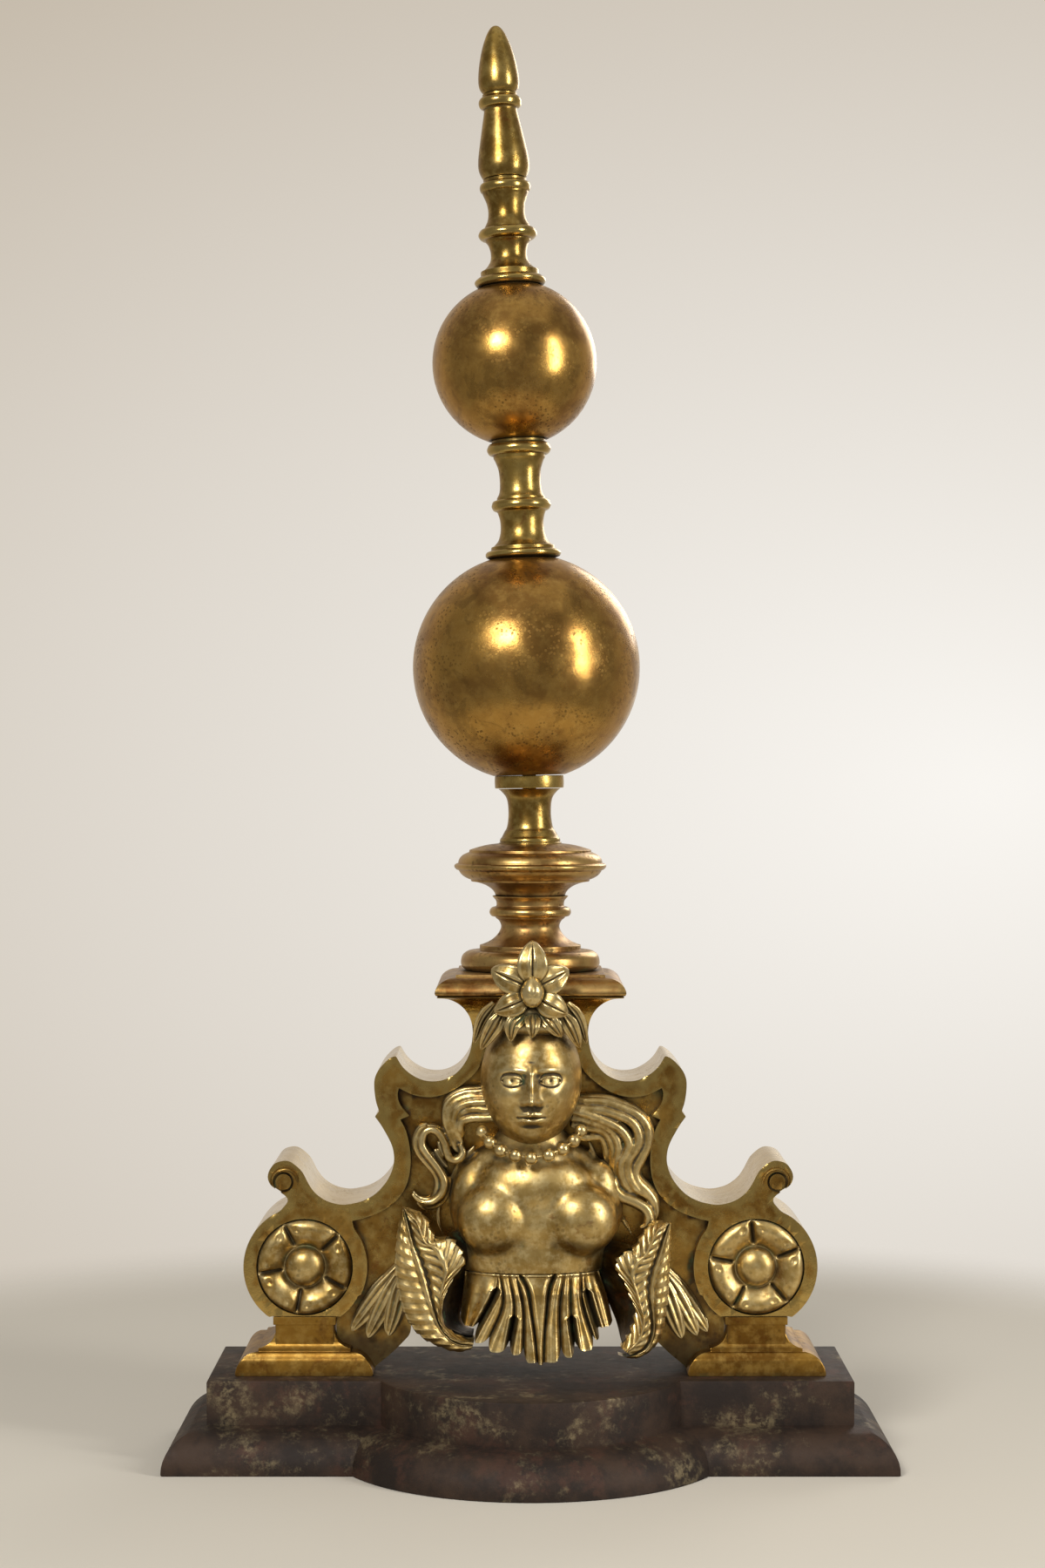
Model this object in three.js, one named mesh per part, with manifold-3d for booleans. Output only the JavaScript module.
// Andiron: a brass front with a figure in relief, a stack of turnings and balls, an iron plinth and log bar.
// Millimetres, +Z up, the front looks along -Y. x = 0 is the middle of the plinth.
import * as THREE from 'three'
import { mergeVertices } from 'three/addons/utils/BufferGeometryUtils.js'
import Module from 'manifold-3d'

const wasm = await Module()
wasm.setup()

// fits
const seatGap = 0.3 // between two pieces that rest on each other
const holeGap = 0.3 // between a bolt and its hole, on the radius

// plinth
const plinthWidth = 372
const plinthDepth = 102
const plinthHeight = 49.5
const mouldHeight = 23.5
const mouldFlare = 23.5
const mouldLip = 2
const bowHalfChord = 86
const bowProjection = 60
const plinthWall = 8
const plinthRoof = 6

// brass feet, seen from above
const footInset = 55
const footY = 5
const footWidth = 80
const footDepth = 78
const footHeight = 33.5
const footFlare = 23.5
const footTopZ = 83

// body casting
const bodyDepth = 67
const recessDepth = 9
const panelThick = 5
const lobeZ = 111.8
const lobeRadius = 35.5
const capSeatZ = 269.7
const neckHalf = 33.4
const neckRoof = 33.7
const lobeFloorZ = 92
const archZ = 111
const eyeX = 143.3
const eyeZ = 161.2

// rosettes
const rosetteRadius = 27.2
const rosetteSink = 5
const bossRadius = 10.9
const petalCount = 5
const rosetteStud = 4

// cap on the body
const capHalf = 54
const capTopHalf = 43

// stack of turnings
const rodRadius = 4
const boreRadius = 5
const socleHeight = 43.5
const knopHeight = 24
const neckHeight = 38.7
const collarHeight = 7.4
const bigBallRadius = 66
const smallBallRadius = 47.6
const ballWall = 4
const ballSeat = 17.5
const smallBallSeat = 15
const balusterHeight = 70.5
const spoolHeight = 63.4
const vaseHeight = 50.2
const finialHeight = 40.5
const collarRadius = 20.5
const leanNeck = 0.8
const leanBigBall = 0.7
const leanBaluster = 0.9
const leanSmallBall = 0.6
const leanSpool = 0.1
const leanVase = 0.4

// log bar, its tenon and rear leg
const barSection = 25
const barBelowTop = 5.5
const barEndY = 470
const tenonRadius = 6
const legSpread = 120
const legInset = 22
const legTenon = 5

// bolts and nuts
const boltRadius = 4
const boltHead = 4.5
const nutHeight = 6
const nutRadius = 8
const washerThick = 2

// figure in relief
const headHalfWidth = 28.3
const headHalfHeight = 37.5
const headHalfDepth = 31
const headY = -46
const headZ = 225
const beadRadius = 3.2
const waistZ = 112.5

const panelY = -bodyDepth / 2 + recessDepth
const bodyFrontY = -bodyDepth / 2
const footX = plinthWidth / 2 - footInset
const deckZ = footTopZ - footHeight // the plinth's top, in the heights that the front is drawn in

// the front's outlines and figure are drawn for these sizes, and follow the real ones
const drawnFootX = 131
const drawnSeatZ = 269.7
const drawnPanelY = -24.5
const risen = z => (z < archZ ? z : archZ + (z - archZ) * (capSeatZ - archZ) / (drawnSeatZ - archZ))
const cavityTop = drawnSeatZ - neckRoof
const neckFloorZ = risen(cavityTop)
const spread = points => points.map(([x, z]) => [x * footX / drawnFootX, risen(z)])
const fitted = shape => shape.warp(place => {
  place[1] += panelY - drawnPanelY
  place[2] = risen(place[2])
})
const plinthFrontY = -plinthDepth / 2

const look = (color, metalness, roughness) => ({ color, metalness, roughness })
const brass = look(0x9a7b3c, 1, 0.34)
const gilt = look(0xb08f4a, 1, 0.3)
const oldBrass = look(0x86672f, 1, 0.4)
const iron = look(0x3a2a24, 0.6, 0.7)
const steel = look(0x55504a, 0.8, 0.6)

const group = new THREE.Group()
group.name = 'andiron'
const assembly = new THREE.Group()
const frontY = plinthFrontY - bowProjection - mouldFlare
assembly.position.y = -(frontY + barEndY) / 2
group.add(assembly)
const front = new THREE.Group()
front.position.z = plinthHeight - deckZ
assembly.add(front)

// closed mesh as a solid, and back
function solid (geometry) {
  const bare = geometry.clone()
  bare.deleteAttribute('normal')
  bare.deleteAttribute('uv')
  const merged = mergeVertices(bare, 1e-4)
  const index = merged.index.array
  const place = merged.attributes.position.array
  const kept = []
  let volume = 0
  for (let i = 0; i < index.length; i += 3) {
    const [a, b, c] = [index[i], index[i + 1], index[i + 2]]
    if (a === b || b === c || c === a) continue
    kept.push(a, b, c)
    const p = new THREE.Vector3().fromArray(place, 3 * a)
    const q = new THREE.Vector3().fromArray(place, 3 * b)
    const r = new THREE.Vector3().fromArray(place, 3 * c)
    volume += p.dot(q.cross(r))
  }
  const triVerts = new Uint32Array(volume < 0 ? kept.reverse() : kept)
  const vertProperties = new Float32Array(place)
  return new wasm.Manifold(new wasm.Mesh({ numProp: 3, vertProperties, triVerts }))
}

function geometryOf (shape) {
  const mesh = shape.getMesh()
  const geometry = new THREE.BufferGeometry()
  geometry.setAttribute('position', new THREE.BufferAttribute(mesh.vertProperties, 3))
  geometry.setIndex(new THREE.BufferAttribute(mesh.triVerts, 1))
  geometry.computeVertexNormals()
  return geometry
}

function addPiece (name, shape, finish, parent = front) {
  const mesh = new THREE.Mesh(geometryOf(shape), new THREE.MeshStandardMaterial(finish))
  mesh.name = name
  parent.add(mesh)
  return mesh
}

const join = shapes => shapes.reduce((whole, shape) => whole.add(shape))
const cutBy = (shape, tools) => tools.reduce((left, tool) => left.subtract(tool), shape)

// closed profile of [radius, height] turned about +Z
function turned (profile, segments = 20) {
  const points = profile.map(([r, z]) => new THREE.Vector2(r, z))
  if (profile[0][0] > 0) points.push(points[0].clone())
  return solid(new THREE.LatheGeometry(points, segments).rotateX(Math.PI / 2))
}

// straight round bar along +Z
const rod = (radius, z0, z1, segments = 12) => turned(
  [[0, z0], [radius, z0], [radius, z1], [0, z1]], segments)

// outline of [x, z] points extruded in depth from y0 to y1
function slab (outline, y0, y1) {
  const shape = new THREE.Shape(outline.map(([x, z]) => new THREE.Vector2(x, z)))
  const geometry = new THREE.ExtrudeGeometry(shape, { depth: y1 - y0, bevelEnabled: false })
  return solid(geometry.rotateX(Math.PI / 2).translate(0, y1, 0))
}

// rings of [x, y] points, one above the other, joined into a closed solid
function loft (rings) {
  const count = rings[0].points.length
  const place = rings.flatMap(({ z, points }) => points.flatMap(([x, y]) => [x, y, z]))
  const faces = []
  for (let level = 0; level < rings.length - 1; level++) {
    for (let i = 0; i < count; i++) {
      const a = level * count + i
      const b = level * count + (i + 1) % count
      faces.push(a, b, b + count, a, b + count, a + count)
    }
  }
  const cap = level => THREE.ShapeUtils.triangulateShape(
    rings[level].points.map(([x, y]) => new THREE.Vector2(x, y)), [])
  cap(0).forEach(([a, b, c]) => faces.push(c, b, a))
  const top = (rings.length - 1) * count
  cap(rings.length - 1).forEach(([a, b, c]) => faces.push(top + a, top + b, top + c))
  const geometry = new THREE.BufferGeometry()
  geometry.setAttribute('position', new THREE.Float32BufferAttribute(place, 3))
  geometry.setIndex(faces)
  return solid(geometry)
}

const rectangle = (x, y, halfX, halfY) => [
  [x - halfX, y - halfY], [x + halfX, y - halfY], [x + halfX, y + halfY], [x - halfX, y + halfY]
]

const box = (x0, x1, y0, y1, z0, z1) => loft([z0, z1].map(z => (
  { z, points: rectangle((x0 + x1) / 2, (y0 + y1) / 2, (x1 - x0) / 2, (y1 - y0) / 2) })))

// egg of three radii, its long way turned from one point to the other
function egg (middle, radii, turn = [0, 0, 0], around = 10, up = 7) {
  const geometry = new THREE.SphereGeometry(1, around, up).rotateX(Math.PI / 2)
  const spin = new THREE.Matrix4().makeRotationFromEuler(new THREE.Euler(...turn))
  geometry.scale(...radii).applyMatrix4(spin).translate(...middle)
  return solid(geometry)
}

// flat tongue from root to tip, wide across and thick in depth
function tongue (root, tip, wide, thick, around = 7, up = 5) {
  const from = new THREE.Vector3(...root)
  const to = new THREE.Vector3(...tip)
  const along = to.clone().sub(from)
  const side = new THREE.Vector3(0, -1, 0).cross(along).normalize()
  const out = along.clone().cross(side).normalize()
  const middle = from.add(to).multiplyScalar(0.5)
  const geometry = new THREE.SphereGeometry(1, around, up).rotateX(Math.PI / 2)
  geometry.scale(wide / 2, thick / 2, along.length() / 2)
  const basis = new THREE.Matrix4().makeBasis(side, out, along.normalize())
  return solid(geometry.applyMatrix4(basis).translate(middle.x, middle.y, middle.z))
}

// round strand through the given points
function strand (points, radius, steps = 10, around = 6) {
  const path = new THREE.CatmullRomCurve3(points.map(point => new THREE.Vector3(...point)))
  const section = new THREE.Shape()
  for (let i = 0; i < around; i++) {
    const angle = 2 * Math.PI * i / around
    const point = [radius * Math.cos(angle), radius * Math.sin(angle)]
    if (i === 0) section.moveTo(...point)
    else section.lineTo(...point)
  }
  return solid(new THREE.ExtrudeGeometry(section, { steps, extrudePath: path, bevelEnabled: false }))
}

const circle = (x, z, radius, from, to, count) => Array.from({ length: count + 1 }, (_, i) => {
  const angle = THREE.MathUtils.degToRad(from + (to - from) * i / count)
  return [x + radius * Math.cos(angle), z + radius * Math.sin(angle)]
})

// left half of an outline, closed by its mirror image
const mirrored = half => half.concat(half.map(([x, z]) => [-x, z]).reverse().filter(([x]) => x > 0))
const flipped = shape => shape.mirror([1, 0, 0])
const hex = (x, y, radius, z0, z1) => rod(radius, z0, z1, 6).translate([x, y, 0])
const ringNut = (x, y, bore, radius, z0, z1) => hex(x, y, radius, z0, z1)
  .subtract(rod(bore, z0 - 1, z1 + 1).translate([x, y, 0]))

// plinth: the same outline at each level of its ovolo, hollow from below
const bowRadius = (bowHalfChord ** 2 + bowProjection ** 2) / (2 * bowProjection)
const bowY = plinthFrontY - bowProjection + bowRadius
function plinthOutline (out, backOut = 0) {
  const halfX = plinthWidth / 2 + out
  const radius = bowRadius + out
  const face = plinthFrontY - out
  const reach = Math.acos((bowY - face) / radius) * 180 / Math.PI
  const bow = circle(0, bowY, radius, -90 - reach, -90 + reach, 20)
  const back = plinthDepth / 2 + backOut
  return [[-halfX, back], [-halfX, face], ...bow, [halfX, face], [halfX, back]]
}
const ovoloSteps = [90, 72, 54, 36, 18, 0]
const plinthRings = [
  { z: 0, points: plinthOutline(mouldFlare) },
  ...ovoloSteps.map(step => {
    const angle = THREE.MathUtils.degToRad(step)
    return {
      z: mouldLip + (mouldHeight - mouldLip) * Math.cos(angle),
      points: plinthOutline(mouldFlare * Math.sin(angle))
    }
  }),
  { z: plinthHeight, points: plinthOutline(0) }
]
const plinthCore = loft([-1, plinthHeight - plinthRoof].map(z => (
  { z, points: plinthOutline(-plinthWall, -plinthWall) })))
const barTopZ = plinthHeight - barBelowTop
const barMiddleZ = barTopZ - barSection / 2
const alongY = shape => shape.rotate([90, 0, 0])
const tenonHole = alongY(rod(tenonRadius + holeGap, -plinthDepth, 0)).translate([0, 0, barMiddleZ])
const footHoles = [-1, 1].map(side => (
  rod(boltRadius + holeGap, -10, footTopZ + 20).translate([side * footX, footY, 0])))
const plinth = cutBy(loft(plinthRings), [plinthCore, tenonHole, ...footHoles])
addPiece('plinth', plinth, iron, assembly)

// feet: ovolo, fillet, cavetto and neck fillet on a rectangle
const footProfile = [
  [1, 0], [1, 0.06], [0.985, 0.2], [0.93, 0.31], [0.8, 0.39], [0.62, 0.43], [0.44, 0.43], [0.44, 0.5],
  [0.34, 0.5], [0.16, 0.56], [0.04, 0.66], [0, 0.8], [0, 0.93], [0.07, 0.93], [0.07, 1]
]
const footSolid = (extra = 0) => loft(footProfile.map(([out, rise]) => ({
  z: deckZ + rise * footHeight,
  points: rectangle(footX, footY, footWidth / 2 - footFlare + footFlare * out + extra,
    footDepth / 2 - footFlare + footFlare * out + extra)
})))
const footRight = footSolid().subtract(footHoles[1])
addPiece('foot_left', flipped(footRight), brass)
addPiece('foot_right', footRight, brass)

// body: outer outline of the left half, from the arch between the legs round to the neck
const outer = mirrored(spread([
  [0, archZ], [-25, archZ - 2], [-45, archZ - 6], [-66, archZ - 10], [-97, archZ - 15],
  ...circle(-drawnFootX, lobeZ, lobeRadius, 330, 306, 2),
  [-drawnFootX + 19, footTopZ + seatGap], [-drawnFootX - 19, footTopZ + seatGap],
  ...circle(-drawnFootX, lobeZ, lobeRadius, 234, 114, 10),
  [-141.4, 148.7], [-140.7, 151], [-142.4, 153.3], [-146, 155.8], [-149.6, 158.3], [-151.7, 161.1],
  [-152.4, 164.5], [-151.3, 168.2], [-148.5, 171.8], [-144.9, 173.2], [-141.4, 173.5], [-137.9, 172.1],
  [-133.2, 168], [-131.2, 165], [-128.2, 159.3], [-124.4, 154.4], [-118.6, 150.4], [-112, 148.4],
  [-106, 148.2], [-97.4, 150.2], [-90.1, 154.2], [-84.3, 160.3], [-80.9, 166.3], [-79.2, 172.6],
  [-79.4, 178.5], [-81, 184], [-84.5, 190.6], [-87.2, 195], [-90.2, 199.1], [-87.8, 202.3],
  [-89.6, 208], [-90.6, 215.7], [-90.3, 221.2], [-88.3, 225.8], [-84.5, 230.4], [-80.6, 233.5],
  [-78, 234.2], [-75.2, 229.4], [-72.2, 226], [-68, 222.9], [-62.6, 220.4], [-57.1, 219.6],
  [-51.6, 220.1], [-46.2, 222.2], [-41.8, 225.5], [-38, 230.3], [-35.5, 235.4], [-34.2, 240.5],
  [-neckHalf, 247.5]
]))
// edge of the raised frame strip, from the neck down to the lobe
const strip = [
  [-20, 244.5], [-26.2, 237], [-29.8, 227.8], [-33.6, 222.9], [-38, 219], [-42.9, 215.5],
  [-48.9, 212.4], [-56, 210.6], [-62.6, 210.6], [-69.2, 212.2], [-76.3, 215.7], [-77.1, 212],
  [-76.3, 207.6], [-74, 203.6], [-70.3, 199.6], [-75.5, 197.4], [-72.2, 190.6], [-70, 181],
  [-69.6, 170.7], [-71.6, 160.3], [-76.7, 151.6], [-85.4, 144.7], [-96, 140.4], [-108, 138.1]
]
const lobeSide = (from, to) => circle(-drawnFootX, lobeZ, lobeRadius + 0.8, from, to, 6)
const bracketX = -drawnFootX + 18
const recess = mirrored(spread([[0, 250], [-12, 248.5], ...strip, ...lobeSide(40, -52),
  [bracketX, footTopZ - 3], [bracketX, deckZ - 5], [0, deckZ - 5]]))
const cavity = mirrored(spread([[0, cavityTop], [-24, cavityTop], ...strip.slice(2), ...lobeSide(40, -10),
  [-92, archZ - 3], [-66, archZ + 1], [-45, archZ + 5], [0, archZ + 10]]))
const bracket = spread([
  [bracketX, 98], [bracketX, 60], [-95, deckZ + seatGap], [-92, deckZ + seatGap],
  [-90.1, 52.7], [-83.7, 58], [-78.5, 62.6], [-73.2, 67.9], [-70.3, 71.6], [-69.6, 77], [-69, 86],
  [-66, 93], [-58, 99.5], [-58, archZ], [-85, archZ]
])
const neckSteps = [[neckHalf, 24.5], [neckHalf, 22.2], [33.9, 17.3], [35.4, 12.4], [38.2, 7.9],
  [42, 4.3], [46.4, 1.9], [50.4, 0.9], [capHalf - 0.3, 0.4], [capHalf - 0.3, 0]]
const neckBlock = loft(neckSteps.map(([half, drop]) => (
  { z: risen(drawnSeatZ - drop), points: rectangle(0, 0, half, half) })))
const bore = rod(boreRadius, capSeatZ - 70, capSeatZ + 31)
const plate = slab(bracket, panelY, panelY + panelThick)
const pocket = box(-footX - 14, -footX + 14, bodyFrontY + 12, bodyDepth, lobeFloorZ, lobeFloorZ + 36)
const sunkCircle = alongY(rod(rosetteRadius + 0.8, -1, rosetteSink, 24))
  .translate([-footX, bodyFrontY + rosetteSink, lobeZ])
const studHole = alongY(rod(rosetteStud + holeGap, -20, 10)).translate([-footX, bodyFrontY, lobeZ])
const eyeGroove = alongY(turned([[4.6, -2], [6.4, -2], [6.4, 1.6], [4.6, 1.6]], 12))
  .translate([-eyeX * footX / drawnFootX, bodyFrontY + 1.6, eyeZ])
const leftCuts = [pocket, sunkCircle, studHole, eyeGroove]
let body = join([slab(outer, bodyFrontY, bodyDepth / 2), neckBlock])
body = cutBy(body, [slab(recess, bodyFrontY - 1, panelY), slab(cavity, panelY + panelThick, bodyDepth)])
body = join([body, plate, flipped(plate)])
body = cutBy(body, [...leftCuts, ...leftCuts.map(flipped), ...footHoles])
const footCutter = join([-seatGap, 0, seatGap].map(rise => footSolid(seatGap).translate([0, 0, rise])))
body = cutBy(body, [footCutter, flipped(footCutter), bore])
addPiece('body', body, brass)

// rosettes: five bulging petals round a boss, with a stud behind
const rosetteParts = [
  turned([[0, 0], [rosetteRadius, 0], [rosetteRadius, 3.4], [rosetteRadius - 2, 4.4], [0, 4.4]], 24),
  rod(rosetteStud, -rosetteSink - 6, 1, 12),
  egg([0, 0, 5.5], [bossRadius, bossRadius, 4.5], [0, 0, 0], 12, 6)
]
for (let i = 0; i < petalCount; i++) {
  const petal = egg([0, 17.2, 4], [9.2, 8.6, 4.6], [0, 0, 0], 8, 6)
  rosetteParts.push(petal.rotate([0, 0, 8 + 360 * i / petalCount]))
}
const rosette = alongY(join(rosetteParts)).translate([-footX, bodyFrontY + rosetteSink - seatGap, lobeZ])
addPiece('rosette_left', rosette, gilt)
addPiece('rosette_right', flipped(rosette), gilt)

// foot bolts with their nuts inside the lobes
const nutFloorZ = lobeFloorZ + seatGap
const boltTopZ = nutFloorZ + nutHeight + 2
const headTopZ = deckZ - plinthRoof - seatGap
const bolt = join([
  rod(boltRadius, headTopZ - 1, boltTopZ, 10), hex(0, 0, nutRadius, headTopZ - boltHead, headTopZ)])
for (const [name, side] of [['left', -1], ['right', 1]]) {
  addPiece(`foot_bolt_${name}`, bolt.translate([side * footX, footY, 0]), steel)
  const nut = ringNut(side * footX, footY, boltRadius + holeGap, nutRadius, nutFloorZ, nutFloorZ + nutHeight)
  addPiece(`foot_nut_${name}`, nut, steel)
}

// square cap on the neck
const capZ = capSeatZ + seatGap
const capSteps = [[capHalf, 0], [capHalf, 1], [53.6, 3], [52.4, 5.2], [50.4, 7.2], [47.6, 8.6], [44.6, 9.2],
  [capTopHalf, 9.2], [capTopHalf, 12.2]]
const capHeight = capSteps.at(-1)[1]
const cap = loft(capSteps.map(([half, z]) => ({ z: capZ + z, points: rectangle(0, 0, half, half) })))
addPiece('cap', cap.subtract(bore), brass)

// stack: each piece stands on the one below, in a group of its own that leans a little more
const seats = []
function seatOn (parent, height, lean) {
  const seat = new THREE.Group()
  seat.position.z = height
  seat.rotation.y = -THREE.MathUtils.degToRad(lean)
  parent.add(seat)
  seats.push(seat)
  return seat
}
const bored = (profile, height, segments = 20) => turned(
  [[boreRadius, 0], ...profile, [boreRadius, height]], segments)

function hollowBall (radius, seatRadius) {
  const reach = Math.acos(seatRadius / radius) * 180 / Math.PI
  const inner = radius - ballWall
  const innerReach = Math.acos(boreRadius / inner) * 180 / Math.PI
  const middle = Math.sqrt(radius ** 2 - seatRadius ** 2)
  const skin = circle(0, middle, radius, -reach, reach, 11)
  const hollow = circle(0, middle, inner, innerReach, -innerReach, 5)
  const shape = turned([[boreRadius, 0], ...skin, [boreRadius, 2 * middle], ...hollow], 24)
  return { height: 2 * middle, shape }
}

const socleSeat = seatOn(front, capZ + capHeight + seatGap, 0)
const socleProfile = [[38.5, 0], [40.6, 2.5], [41, 5.5], [39.6, 9], [36.4, 11.2], [29.6, 11.6], [29.6, 14.6],
  [24, 17], [19.4, 20.6], [17.3, 24.8], [18.4, 29], [20.5, 31], [23.4, 32.4], [24, 34.4], [23.2, 36.8],
  [20.6, 38.4], [20.1, 41], [22.4, socleHeight]]
addPiece('socle', bored(socleProfile, socleHeight), brass, socleSeat)

const knopSeat = seatOn(socleSeat, socleHeight + seatGap, 0)
const knopProfile = [[27, 0], [34, 3], [35.5, 6], [35.8, 8.6], [41.6, 9.6], [41.8, 12.4], [44.2, 13.6],
  [44.7, 16.4], [43.6, 18.6], [41.6, 19.4], [41.2, 21.4], [35.9, 22], [35.5, knopHeight]]
addPiece('knop', bored(knopProfile, knopHeight), brass, knopSeat)

const neckSeat = seatOn(knopSeat, knopHeight + seatGap, leanNeck)
const neckProfile = [[17.4, 0], [18.4, 1.6], [17.6, 3.6], [15.4, 4.6], [16.6, 6.4], [14.6, 9], [12.8, 14],
  [12.1, 24], [12.9, 31], [15.4, 36], [18.4, neckHeight]]
addPiece('neck', bored(neckProfile, neckHeight), brass, neckSeat)

const collarSeat = seatOn(neckSeat, neckHeight + seatGap, 0)
const collarProfile = [[collarRadius, 0], [collarRadius, collarHeight]]
addPiece('collar', bored(collarProfile, collarHeight), brass, collarSeat)

const bigBall = hollowBall(bigBallRadius, ballSeat)
const bigBallSeat = seatOn(collarSeat, collarHeight + seatGap, leanBigBall)
addPiece('ball_large', bigBall.shape, oldBrass, bigBallSeat)

const balusterSeat = seatOn(bigBallSeat, bigBall.height + seatGap, leanBaluster)
const balusterProfile = [[16.4, 0], [21.6, 1.6], [22.4, 3], [21.6, 4.8], [18.8, 6], [18.4, 8], [14.6, 11.4],
  [12.9, 18], [13, 24], [14.4, 28.4], [16.8, 30.2], [17.5, 32.2], [16.8, 34.4], [14.2, 36], [12.4, 41],
  [12.1, 47.6], [12.9, 54], [15, 59.6], [15.2, 61.8], [18.1, 63.2], [18.9, 65.6], [18.2, 68.2],
  [16.4, balusterHeight]]
addPiece('baluster', bored(balusterProfile, balusterHeight, 16), brass, balusterSeat)

const smallBall = hollowBall(smallBallRadius, smallBallSeat)
const smallBallGroup = seatOn(balusterSeat, balusterHeight + seatGap, leanSmallBall)
addPiece('ball_small', smallBall.shape, oldBrass, smallBallGroup)

const spoolSeat = seatOn(smallBallGroup, smallBall.height + seatGap, leanSpool)
const spoolProfile = [[17, 0], [20.6, 1], [21.1, 3], [20.3, 5], [17, 6.2], [16.8, 9.6], [13, 12], [10.9, 16],
  [10.7, 21], [12, 25.4], [13.4, 27.4], [16.6, 28.8], [17.3, 31], [16.6, 33.4], [13.6, 35], [11.3, 39.6],
  [10.8, 44.4], [11.6, 50], [13.2, 54.2], [14.8, 56.8], [15.1, 59], [14.4, 61.4], [12.8, spoolHeight]]
addPiece('spool', bored(spoolProfile, spoolHeight, 16), brass, spoolSeat)

const vaseSeat = seatOn(spoolSeat, spoolHeight + seatGap, leanVase)
const vaseProfile = [[12.4, 0], [13.6, 2], [15, 5.6], [15.2, 8.6], [14.6, 14], [13.2, 22], [11.6, 31],
  [10.2, 38], [9.8, 41], [11.6, 43], [12.6, 46], [11.8, 48.6], [10.2, vaseHeight]]
addPiece('vase', bored(vaseProfile, vaseHeight, 16), brass, vaseSeat)

const finialSeat = seatOn(vaseSeat, vaseHeight + seatGap, 0)
const finialBore = 26
const finialProfile = [[0, finialBore], [boreRadius, finialBore], [boreRadius, 0], [9.4, 0], [10.3, 1.4],
  [11.8, 4.4], [12, 8.4], [11.5, 14], [10.2, 21], [8.4, 28], [6, 34.4], [3.4, 38.6], [0, finialHeight]]
addPiece('finial', turned(finialProfile, 16), brass, finialSeat)

// rod through the whole stack, bent where the stack leans, with its nut and washer under the neck
const rodBottomZ = neckFloorZ - 17
group.updateMatrixWorld(true)
const rodPoint = (seat, height) => front.worldToLocal(seat.localToWorld(new THREE.Vector3(0, 0, height)))
const rodPlaces = [new THREE.Vector3(0, 0, rodBottomZ), ...seats.map(seat => rodPoint(seat, 0)),
  rodPoint(finialSeat, finialBore - 4)]
const rodRings = rodPlaces.map(({ x, z }) => ({ z, points: circle(x, 0, rodRadius, 0, 330, 11) }))
addPiece('rod', loft(rodRings), steel)
const washerTopZ = neckFloorZ - seatGap
const washerHole = rod(rodRadius + holeGap, rodBottomZ - 10, capSeatZ)
const washer = rod(13, washerTopZ - washerThick, washerTopZ, 16).subtract(washerHole)
addPiece('rod_washer', washer, steel)
const rodNutTop = washerTopZ - washerThick - seatGap
addPiece('rod_nut', ringNut(0, 0, rodRadius + holeGap, nutRadius, rodNutTop - nutHeight, rodNutTop), steel)

// figure, laid on the panel in front of the body
const clearOfBody = shape => shape.subtract(body.translate([0, -seatGap, 0])).subtract(body)
const largest = shape => shape.decompose().reduce((best, one) => (one.volume() > best.volume() ? one : best))
const behind = y => box(-plinthWidth, plinthWidth, y, plinthWidth, -10, 2 * capSeatZ)
const relief = shape => largest(clearOfBody(fitted(shape).subtract(behind(panelY - seatGap))))

const headShape = (grow = 0) => join([
  egg([0, headY, headZ],
    [headHalfWidth + grow, headHalfDepth + grow, headHalfHeight + grow], [0, 0, 0], 14, 9),
  egg([0, headY - 8, headZ - 12], [22 + grow, 23 + grow, 25 + grow], [0, 0, 0], 12, 8)
])
const faceY = headY - headHalfDepth
const features = [
  tongue([0, faceY + 4, headZ + 4], [0, faceY - 1, headZ - 11], 8, 9, 6, 5),
  tongue([-8, faceY + 4, headZ - 19], [8, faceY + 4, headZ - 19], 5, 6, 6, 5),
  egg([0, faceY + 9, headZ - 31], [8, 7, 6], [0, 0, 0], 8, 5),
  ...[-1, 1].map(side => egg([side * 11, faceY + 6, headZ + 1], [6, 4.5, 3.6], [0, 0, 0], 8, 5))
]
const head = relief(join([headShape(), ...features]))
addPiece('head', head, gilt)

const torsoParts = [
  egg([2, -38, 158], [40, 24, 30], [0, 0, 0], 12, 7),
  egg([-30, -36, 168], [16, 17, 17], [0, 0, 0], 8, 6),
  egg([34, -36, 168], [16, 17, 17], [0, 0, 0], 8, 6),
  egg([-39, -34, 151], [13.5, 14, 21], [0, 0, 0], 8, 6),
  egg([44, -34, 150], [14, 14, 21], [0, 0, 0], 8, 6),
  egg([3, -40, 124], [42, 23, 24], [0, 0, 0], 12, 7),
  egg([-23.5, -60, 140], [17.5, 18, 18.5], [0, 0, 0], 12, 8),
  egg([28, -60, 140.5], [17.5, 18, 18.5], [0, 0, 0], 12, 8),
  egg([1, headY + 5, 181], [28, 18, 13], [0, 0, 0], 12, 7),
  rod(16, 170, 200).translate([1, headY + 2, 0])
]
const belowWaist = box(-100, 100, -150, 50, 0, waistZ)
const torsoShape = join(torsoParts)
const torso = relief(cutBy(torsoShape, [belowWaist, headShape(seatGap), join(features)]))
addPiece('torso', torso, gilt)

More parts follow.
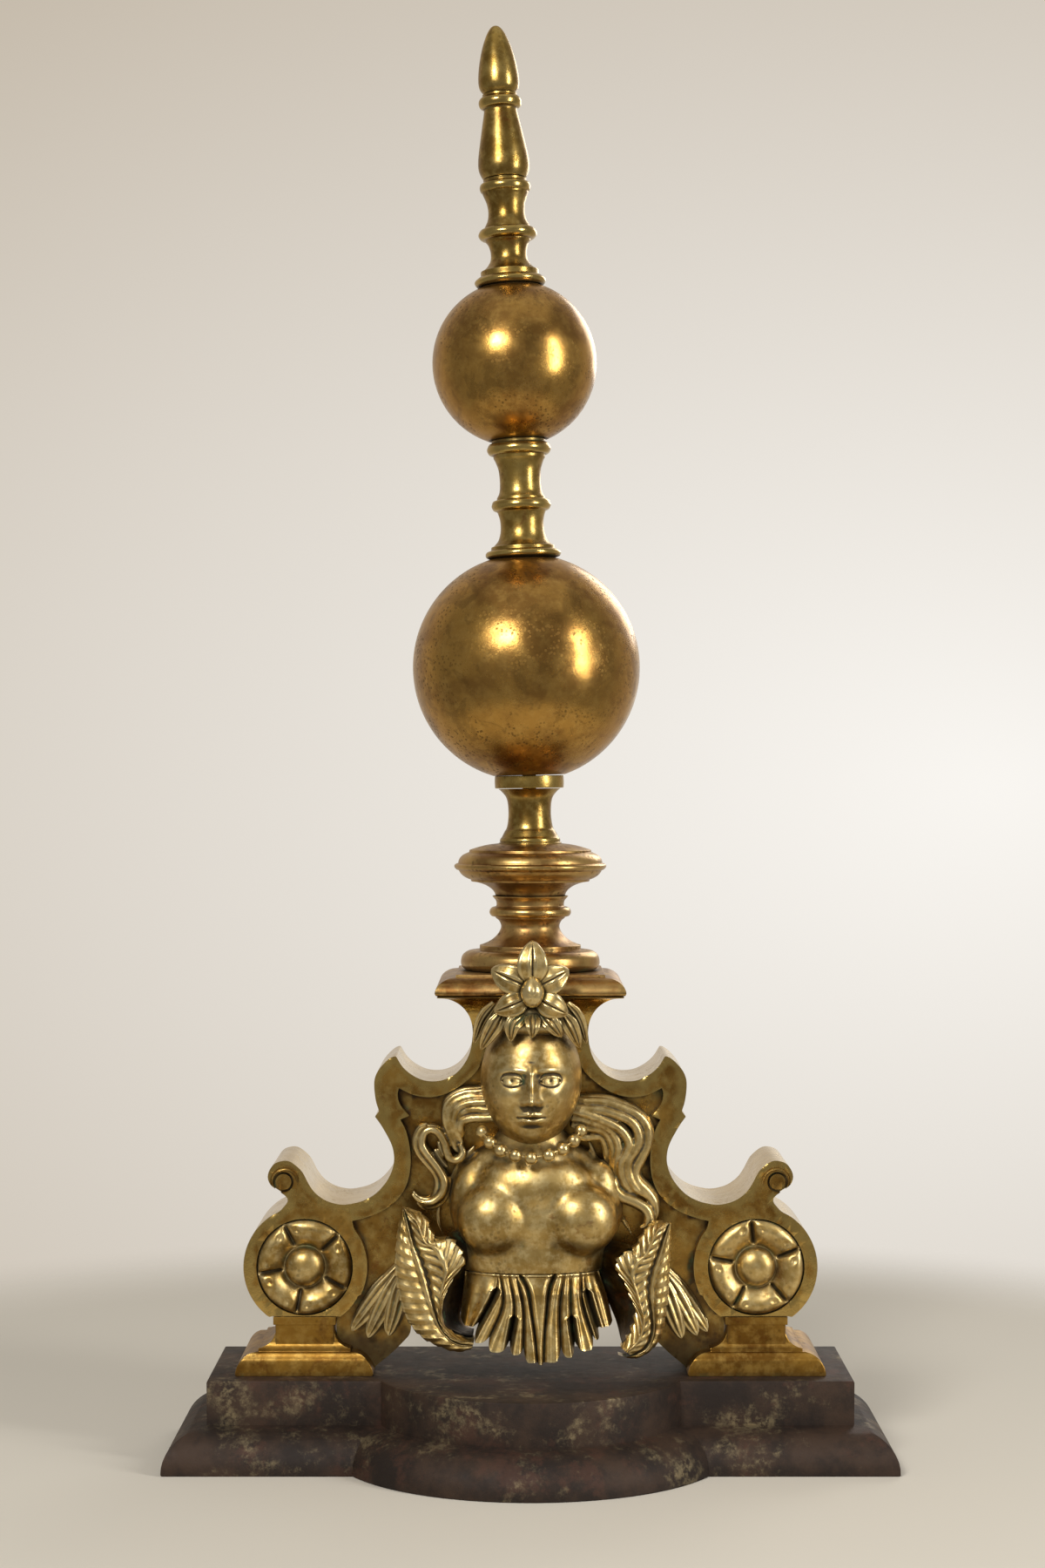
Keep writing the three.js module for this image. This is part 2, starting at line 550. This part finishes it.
// beads on their cord, in an arc round the base of the neck
const beadCount = 9
const beadPlaces = Array.from({ length: beadCount }, (_, i) => {
  const angle = Math.PI * (i - (beadCount - 1) / 2) / 10
  return [1.5 + 27.5 * Math.sin(angle), headY + 3 - 18 * Math.cos(angle), 193 - 12.5 * Math.cos(angle * 1.2)]
})
const necklace = join([strand(beadPlaces, 1.2, 8, 5),
  ...beadPlaces.map(place => egg(place, [beadRadius, beadRadius, beadRadius], [0, 0, 0], 6, 4))])
const clearOfFigure = shape => cutBy(shape, [headShape(seatGap), join(features), torsoShape])
addPiece('necklace', relief(clearOfFigure(necklace)), gilt)

// locks of hair
const leftLocks = [
  strand([[-27, -50, 222], [-36, -46, 220], [-45, -42, 214], [-48.5, -38, 205], [-44, -36, 195],
    [-41, -34, 188]], 6.2),
  strand([[-28, -50, 212], [-35, -47, 209], [-40, -43, 201], [-38, -40, 193], [-36, -38, 187]], 6.6),
  strand([[-41, -34, 196], [-40, -34, 186], [-44, -36, 180], [-50, -38, 187], [-56, -39, 194],
    [-62, -38, 195.5], [-66, -37, 189], [-64, -36, 181], [-56, -35, 172], [-51, -34, 165],
    [-51, -33, 158], [-57, -33, 153], [-65, -33, 155]], 5.2, 20)
]
const rightLocks = [
  strand([[27, -50, 214], [40, -46, 212], [54, -42, 206], [63, -40, 197], [63, -38, 188], [58, -37, 179],
    [57, -36, 172], [62, -35, 163], [68, -34, 154], [67, -34, 147], [60, -34, 144]], 6.2, 16),
  strand([[27, -50, 206], [38, -47, 203], [47, -43, 197], [50, -40, 187], [47, -38, 178], [47.5, -36, 168],
    [54, -35, 161], [62, -34, 155]], 6.6, 12),
  strand([[28, -49, 198], [36, -45, 194], [41, -41, 186], [42.5, -38, 176], [46, -36, 164]], 6, 9)
]
const hairLeft = relief(clearOfFigure(join(leftLocks)).subtract(necklace))
const hairRight = relief(clearOfFigure(join(rightLocks)).subtract(necklace))
addPiece('hair_left', hairLeft, gilt)
addPiece('hair_right', hairRight, gilt)

// flower and leaves on the brow, in front of the cap
const flowerY = -71
const flowerZ = 274.5
const flowerParts = [egg([1, flowerY - 9, flowerZ], [6.6, 6.5, 9.2], [0, 0, 0], 10, 7)]
const petals = [[90, 28, 17], [147, 27, 19], [30, 26, 19], [205, 25, 15], [331, 25, 15]]
for (const [angle, reach, wide] of petals) {
  const turn = THREE.MathUtils.degToRad(angle)
  const tip = [1 + reach * Math.cos(turn), flowerY + 4, flowerZ + reach * Math.sin(turn)]
  const root = [1 + 3 * Math.cos(turn), flowerY - 3, flowerZ + 3 * Math.sin(turn)]
  flowerParts.push(tongue(root, tip, wide, 8, 8, 5))
}
flowerParts.push(tongue([1, flowerY + 8, flowerZ], [1, -capHalf + 4, flowerZ - 1], 20, 20, 8, 5))
const capSpace = box(-plinthWidth, plinthWidth, -capHalf - seatGap, plinthWidth, capSeatZ - 1, 2 * capSeatZ)
const clearOfCap = shape => largest(relief(shape).subtract(capSpace))
const leafFan = [
  tongue([-3, -72, 262], [-30, -63, 243], 13, 8), tongue([-3, -72, 262], [-13, -75, 244], 12, 8),
  tongue([2, -73, 262], [1, -79, 245], 12, 8), tongue([5, -72, 262], [19, -72, 246], 12, 8),
  tongue([5, -71, 263], [31, -60, 242], 13, 8), egg([1, -60, 261], [25, 14, 12], [0, 0, 0], 12, 7)
]
const fan = join(leafFan)
addPiece('headdress_leaves', clearOfCap(cutBy(fan, [headShape(seatGap), join(features)])), gilt)
const flower = cutBy(join(flowerParts), [fan, headShape(seatGap)])
addPiece('headdress_flower', clearOfCap(flower), gilt)

// apron of lobes that hang from the waist
const apronY = -56
const apronLobes = [
  [0, 5.5, 62, 19], [-7, -8, 68, 12], [-14, -19, 69, 13], [-20, -27.5, 73.5, 12], [-27, -36, 83, 12],
  [11, 21, 66.5, 12], [18, 32, 69, 12], [25, 37, 74, 11], [31, 43, 84, 12]
]
const apronParts = apronLobes.map(([rootX, tipX, tipZ, wide]) => (
  tongue([rootX, apronY + 8, waistZ + 6], [tipX, apronY - 4 + Math.abs(tipX) * 0.3, tipZ], wide, 12)))
apronParts.push(egg([3, -36, waistZ - 6], [38, 22, 16], [0, 0, 0], 14, 6))
const aboveWaist = box(-200, 200, -200, 100, waistZ - seatGap, 300)
const apronShape = join(apronParts).subtract(aboveWaist)
addPiece('apron', relief(apronShape), gilt)

// upright leaves beside the waist, and the flat sprays behind them
const leafY = -50
const leafThick = 15
const leafLeft = [
  [-73, 149], [-75, 143], [-77, 116], [-76, 104], [-71, 87], [-61, 76], [-50, 70], [-41, 67.5], [-33, 69],
  [-30, 74], [-36, 80], [-45, 88], [-50, 97], [-51, 107], [-47, 111], [-38, 119], [-44, 133], [-53, 133.5],
  [-60, 145], [-66, 147]
]
const leafRight = [
  [80.5, 141], [79, 133], [81, 109], [78.5, 86], [69, 70.5], [57, 66.5], [47, 73], [47, 79], [54, 90],
  [57, 98], [53, 108], [49, 119], [52, 127], [59, 130], [67, 142], [74, 143.5]
]
const clearOfMiddle = shape => cutBy(shape, [torsoShape, join(apronParts)])
const locks = join([...leftLocks, ...rightLocks])
for (const [name, outline] of [['left', leafLeft], ['right', leafRight]]) {
  const count = outline.length
  const root = outline.reduce(([x, z], point) => [x + point[0] / count, z + point[1] / count], [0, 0])
  const webY = leafY + leafThick
  const web = tongue([root[0], webY, root[1] - 14], [root[0], webY, root[1] + 20], 16, 2 * leafThick - 3)
  const leaf = slab(outline, leafY, leafY + leafThick).add(web)
  addPiece(`leaf_${name}`, relief(clearOfMiddle(leaf).subtract(locks)), gilt)
  const side = name === 'left' ? -1 : 1
  const blades = [[104, 74], [96, 71], [86, 71.5]].map(([tipX, tipZ]) => (
    tongue([side * 70, drawnPanelY - 3, 116], [side * tipX, drawnPanelY - 6, tipZ], 14, 9)))
  addPiece(`spray_${name}`, relief(clearOfMiddle(join(blades)).subtract(leaf)), oldBrass)
}

// log bar with a shouldered tenon through the plinth's rear wall
const barStartY = plinthDepth / 2 + seatGap
const tenonEndY = plinthDepth / 2 - plinthWall - seatGap - nutHeight - 3
const tenon = alongY(rod(tenonRadius, -barStartY - 1, -tenonEndY)).translate([0, 0, barMiddleZ])
const barShape = join([
  box(-barSection / 2, barSection / 2, barStartY, barEndY, barTopZ - barSection, barTopZ), tenon])
const legY = barEndY - legInset
const legHole = rod(legTenon + holeGap, 0, 100).translate([0, legY, 0])
addPiece('log_bar', barShape.subtract(legHole), iron, assembly)
const nutFrontY = plinthDepth / 2 - plinthWall - seatGap
const barNut = alongY(ringNut(0, 0, tenonRadius + holeGap, nutRadius + 3, -nutFrontY, -nutFrontY + nutHeight))
addPiece('bar_nut', barNut.translate([0, 0, barMiddleZ]), steel, assembly)

// rear leg: a low arch under the bar, with a tenon up through it
const legTopZ = barTopZ - barSection - seatGap
const half = legSpread / 2
const legOutline = mirrored([[0, legTopZ - 9], [-22, legTopZ - 9.5], [-38, 2], [-44, 0], [-half, 0],
  [-half, 4], [-half + 6, 7], [-40, 10], [-24, legTopZ], [0, legTopZ]])
const legTenonShape = rod(legTenon, legTopZ - 1, barTopZ, 16).translate([0, legY, 0])
const legArch = slab(legOutline, legY - barSection / 2, legY + barSection / 2)
addPiece('rear_leg', join([legArch, legTenonShape]), iron, assembly)

export default group
